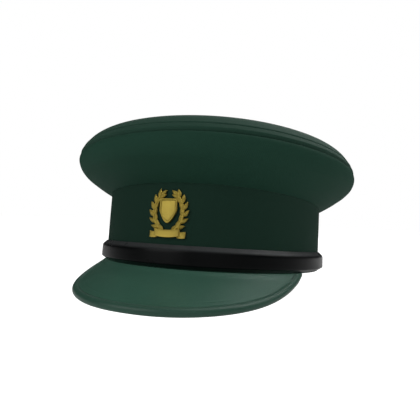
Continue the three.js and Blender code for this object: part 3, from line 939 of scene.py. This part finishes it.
def gilt(name):
    """Gilt brass: bright where the relief stands out, brown in its hollows, lightly scratched.
    The piece's mark is the relief's height in millimetres."""
    material, tree, shader, where = new_material(name)
    relief = tree.nodes.new("ShaderNodeAttribute")
    relief.attribute_name = "mark"
    tarnish = noise(tree, where["Object"], scale=420, detail=3)
    ramp = tree.nodes.new("ShaderNodeMapRange")
    ramp.inputs["From Min"].default_value, ramp.inputs["From Max"].default_value = TARNISH_HEIGHTS
    lit = calculated(tree, "MULTIPLY_ADD", tarnish, TARNISH, relief.outputs["Fac"])
    tree.links.new(lit, ramp.inputs["Value"])
    mix = tree.nodes.new("ShaderNodeMix")
    mix.data_type = "RGBA"
    mix.inputs["A"].default_value = (*GILT_RECESS, 1)
    mix.inputs["B"].default_value = (*GILT, 1)
    tree.links.new(ramp.outputs["Result"], mix.inputs["Factor"])
    tree.links.new(mix.outputs["Result"], shader.inputs["Base Color"])
    scratches = noise(tree, where["Object"], scale=900)
    rough = calculated(tree, "MULTIPLY_ADD", scratches, GILT_SCRATCHES, GILT_ROUGHNESS)
    tree.links.new(rough, shader.inputs["Roughness"])
    bumped(tree, shader, noise(tree, where["Object"], scale=1400), GILT_RELIEF)
    shader.inputs["Metallic"].default_value = 1
    return material


badge_heights = [grid[..., 2] for grid in badge_grids]
badge_points = [on_band(grid) for grid in badge_grids]
badge = made("badge_casting", badge_points, comes_round=False, marks=badge_heights)
fitted(badge, gilt("badge_gilt_brass"), "badge")


# The stage. A white surface under large soft lamps, in white surroundings: it isn't part
# of the cap. Most light comes from the right, where the lamps that only fill cast no shadow.
FLOOR_SIZE = 6
FLOOR_WHITE = 0.8
FLOOR_ROUGHNESS = 0.9
FLOOR_GLOW = 0.08
FLOOR_SEEN = (0.86, 1)
FLOOR_FADE = (0.15, 0.45)
SKY_GLOW = 0.02
WHITE = (1, 1, 1, 1)
LAMP_DISTANCE = 900
LAMP_SIZE = 600
LAMPS = {
    "front_left": {"azimuth": -25, "elevation": 20, "power": 2.4, "shadow": True},
    "front_right": {"azimuth": 25, "elevation": 20, "power": 0.6, "shadow": True},
    "overhead": {"azimuth": 0, "elevation": 88, "power": 0.8, "shadow": True},
    "behind_left": {"azimuth": -150, "elevation": 40, "power": 0.5, "shadow": True},
    "behind_right": {"azimuth": 150, "elevation": 55, "power": 0.9, "shadow": True},
    "right_fill": {"azimuth": 105, "elevation": 40, "power": 2.5, "shadow": False},
    "high_fill": {"azimuth": 77, "elevation": 65, "power": 1.4, "shadow": False},
    "behind_fill": {"azimuth": 150, "elevation": 50, "power": 0.8, "shadow": False},
}


def floor_paint():
    """Matt white paint with a faint glow on the cap. The camera sees a strong glow instead, a
    little weaker near the cap, so the surface is plain white with the softest of shadows."""
    paint, tree, shader, where = new_material("floor_white")
    shader.inputs["Base Color"].default_value = (FLOOR_WHITE, FLOOR_WHITE, FLOOR_WHITE, 1)
    shader.inputs["Roughness"].default_value = FLOOR_ROUGHNESS
    shader.inputs["Specular IOR Level"].default_value = 0
    shader.inputs["Emission Color"].default_value = WHITE
    reach = tree.nodes.new("ShaderNodeVectorMath")
    reach.operation = "LENGTH"
    tree.links.new(where["Object"], reach.inputs[0])
    fade = tree.nodes.new("ShaderNodeMapRange")
    fade.inputs["From Min"].default_value, fade.inputs["From Max"].default_value = FLOOR_FADE
    fade.inputs["To Min"].default_value, fade.inputs["To Max"].default_value = FLOOR_SEEN
    tree.links.new(reach.outputs["Value"], fade.inputs["Value"])
    seen = tree.nodes.new("ShaderNodeLightPath").outputs["Is Camera Ray"]
    glow = calculated(tree, "MULTIPLY", seen, fade.outputs["Result"])
    tree.links.new(calculated(tree, "MAXIMUM", glow, FLOOR_GLOW), shader.inputs["Emission Strength"])
    return paint


half_floor = FLOOR_SIZE / 2
floor_corners = [(x * half_floor, y * half_floor, 0) for x, y in ((-1, -1), (1, -1), (1, 1), (-1, 1))]
floor_mesh = bpy.data.meshes.new("floor")
floor_mesh.from_pydata(floor_corners, [], [(0, 1, 2, 3)])
floor_mesh.materials.append(floor_paint())
floor = bpy.data.objects.new("floor", floor_mesh)
bpy.context.scene.collection.objects.link(floor)

# A lamp without a shadow is sampled alone, or its light would hang on how many lamps there are.
for name, lamp in LAMPS.items():
    light = bpy.data.lights.new(f"lamp_{name}", "AREA")
    light.size = LAMP_SIZE * MILLIMETRE
    light.energy = lamp["power"]
    light.use_shadow = lamp["shadow"]
    light.cycles.use_multiple_importance_sampling = lamp["shadow"]
    lamp_axes = camera_axes(math.radians(lamp["azimuth"]), math.radians(lamp["elevation"]), 0)
    lamp_object = bpy.data.objects.new(f"lamp_{name}", light)
    lamp_object.matrix_world = placed_at(lamp_axes, VIEW_AIM + LAMP_DISTANCE * lamp_axes[2])
    bpy.context.scene.collection.objects.link(lamp_object)

world = bpy.data.worlds.new("surroundings")
world.use_nodes = True
sky = world.node_tree
sky_seen = sky.nodes.new("ShaderNodeLightPath").outputs["Is Camera Ray"]
sky_strength = calculated(sky, "MULTIPLY_ADD", sky_seen, 1 - SKY_GLOW, SKY_GLOW)
sky.links.new(sky_strength, sky.nodes["Background"].inputs["Strength"])
sky.nodes["Background"].inputs["Color"].default_value = WHITE
bpy.context.scene.world = world
bpy.context.scene.view_settings.view_transform = "Standard"
